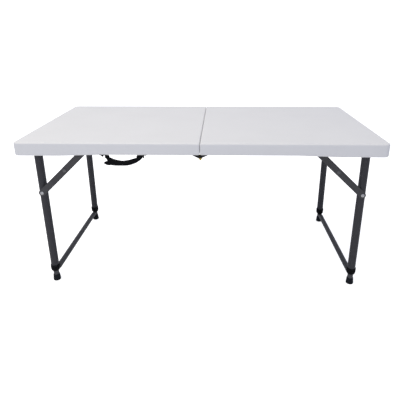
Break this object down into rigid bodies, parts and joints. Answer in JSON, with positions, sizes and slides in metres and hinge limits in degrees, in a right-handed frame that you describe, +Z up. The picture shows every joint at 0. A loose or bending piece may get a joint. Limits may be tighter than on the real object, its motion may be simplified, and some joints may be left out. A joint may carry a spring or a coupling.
{
  "type": "folding table",
  "caption": "Folding table with a moulded top hinged across its middle, two fold-flat tubular leg frames with adjustable height, folding braces and a carry handle.",
  "frame": {"origin": "on the floor under the middle of the top", "axes": "+X along the long side of the top, -Y towards the side with the carry handle, +Z up"},
  "size_m": [1.22, 0.61, 0.556],
  "materials": {
    "moulded_top": "off-white moulded polyethylene with a fine pebbled grain",
    "dark_powder_coat": "dark grey powder coat, satin",
    "grey_powder_coat": "mid grey powder coat, satin",
    "black_powder_coat": "near black powder coat, satin",
    "rivet_steel": "zinc plated steel, slightly brushed",
    "black_nylon": "black moulded nylon, satin",
    "foot_rubber": "black rubber, matt",
    "yellow_nylon": "yellow moulded nylon, satin"
  },
  "bodies": {
    "left_half": {"left_panel": "moulded_top", "left_front_rail": "black_powder_coat", "left_front_saddle": "dark_powder_coat", "left_rear_rail": "black_powder_coat", "left_rear_saddle": "dark_powder_coat", "front_hinge_pin": "rivet_steel", "front_hinge_guard": "yellow_nylon", "rear_hinge_pin": "rivet_steel", "rear_hinge_guard": "yellow_nylon", "handle_left_bracket": "black_nylon", "handle_right_bracket": "black_nylon"},
    "left_leg_frame": {"left_top_bar": "dark_powder_coat", "left_front_leg_tube": "dark_powder_coat", "left_front_collar": "black_nylon", "left_front_leg_rivet": "rivet_steel", "left_rear_leg_tube": "dark_powder_coat", "left_rear_collar": "black_nylon", "left_rear_leg_rivet": "rivet_steel"},
    "left_inner_frame": {"left_crossbar": "grey_powder_coat", "left_front_inner_tube": "grey_powder_coat", "left_front_foot": "foot_rubber", "left_rear_inner_tube": "grey_powder_coat", "left_rear_foot": "foot_rubber"},
    "left_front_button": {"left_front_button": "rivet_steel"},
    "left_upper_links": {"left_front_upper_link": "grey_powder_coat", "left_front_knee_rivet": "rivet_steel", "left_rear_upper_link": "grey_powder_coat", "left_rear_knee_rivet": "rivet_steel"},
    "left_lower_links": {"left_front_lower_link": "grey_powder_coat", "left_rear_lower_link": "grey_powder_coat"},
    "left_rear_button": {"left_rear_button": "rivet_steel"},
    "right_half": {"right_panel": "moulded_top", "right_front_rail": "black_powder_coat", "right_front_saddle": "dark_powder_coat", "right_rear_rail": "black_powder_coat", "right_rear_saddle": "dark_powder_coat"},
    "right_leg_frame": {"right_top_bar": "dark_powder_coat", "right_front_leg_tube": "dark_powder_coat", "right_front_collar": "black_nylon", "right_front_leg_rivet": "rivet_steel", "right_rear_leg_tube": "dark_powder_coat", "right_rear_collar": "black_nylon", "right_rear_leg_rivet": "rivet_steel"},
    "right_inner_frame": {"right_crossbar": "grey_powder_coat", "right_front_inner_tube": "grey_powder_coat", "right_front_foot": "foot_rubber", "right_rear_inner_tube": "grey_powder_coat", "right_rear_foot": "foot_rubber"},
    "right_front_button": {"right_front_button": "rivet_steel"},
    "right_upper_links": {"right_front_upper_link": "grey_powder_coat", "right_front_knee_rivet": "rivet_steel", "right_rear_upper_link": "grey_powder_coat", "right_rear_knee_rivet": "rivet_steel"},
    "right_lower_links": {"right_front_lower_link": "grey_powder_coat", "right_rear_lower_link": "grey_powder_coat"},
    "right_rear_button": {"right_rear_button": "rivet_steel"},
    "handle": {"handle": "black_nylon"}
  },
  "joints": [
    {"name": "half_fold", "type": "hinge", "parent": "left_half", "child": "right_half", "pos_m": [0, 0, 0.5045], "axis": [0, 1, 0], "range_deg": [0, 90]},
    {"name": "left_leg_fold", "type": "hinge", "parent": "left_half", "child": "left_leg_frame", "pos_m": [-0.553, 0, 0.53], "axis": [0, -1, 0], "range_deg": [0, 90]},
    {"name": "left_upper_link_fold", "type": "hinge", "parent": "left_half", "child": "left_upper_links", "pos_m": [-0.376, 0, 0.53], "axis": [0, -1, 0], "range_deg": [0, 136.66]},
    {"name": "left_lower_link_fold", "type": "hinge", "parent": "left_leg_frame", "child": "left_lower_links", "pos_m": [-0.553, 0, 0.363], "axis": [0, 1, 0], "range_deg": [0, 133.34]},
    {"name": "left_height", "type": "slide", "parent": "left_leg_frame", "child": "left_inner_frame", "axis": [0, 0, 1], "range_m": [-0.15, 0]},
    {"name": "left_front_button_press", "type": "slide", "parent": "left_inner_frame", "child": "left_front_button", "axis": [1, 0, 0], "range_m": [0, 0.0025], "stiffness_N_per_m": 400},
    {"name": "left_rear_button_press", "type": "slide", "parent": "left_inner_frame", "child": "left_rear_button", "axis": [1, 0, 0], "range_m": [0, 0.0025], "stiffness_N_per_m": 400},
    {"name": "right_leg_fold", "type": "hinge", "parent": "right_half", "child": "right_leg_frame", "pos_m": [0.553, 0, 0.53], "axis": [0, 1, 0], "range_deg": [0, 90]},
    {"name": "right_upper_link_fold", "type": "hinge", "parent": "right_half", "child": "right_upper_links", "pos_m": [0.376, 0, 0.53], "axis": [0, 1, 0], "range_deg": [0, 136.66]},
    {"name": "right_lower_link_fold", "type": "hinge", "parent": "right_leg_frame", "child": "right_lower_links", "pos_m": [0.553, 0, 0.363], "axis": [0, -1, 0], "range_deg": [0, 133.34]},
    {"name": "right_height", "type": "slide", "parent": "right_leg_frame", "child": "right_inner_frame", "axis": [0, 0, 1], "range_m": [-0.15, 0]},
    {"name": "right_front_button_press", "type": "slide", "parent": "right_inner_frame", "child": "right_front_button", "axis": [-1, 0, 0], "range_m": [0, 0.0025], "stiffness_N_per_m": 400},
    {"name": "right_rear_button_press", "type": "slide", "parent": "right_inner_frame", "child": "right_rear_button", "axis": [-1, 0, 0], "range_m": [0, 0.0025], "stiffness_N_per_m": 400},
    {"name": "handle_swing", "type": "hinge", "parent": "left_half", "child": "handle", "pos_m": [-0.247, -0.294, 0.508], "axis": [-1, 0, 0], "range_deg": [-90, 90]}
  ],
  "couplings": [
    {"joint": "left_upper_link_fold", "follows": "left_leg_fold", "ratio": 1.5185},
    {"joint": "left_lower_link_fold", "follows": "left_leg_fold", "ratio": 1.4815},
    {"joint": "right_upper_link_fold", "follows": "right_leg_fold", "ratio": 1.5185},
    {"joint": "right_lower_link_fold", "follows": "right_leg_fold", "ratio": 1.4815}
  ]
}
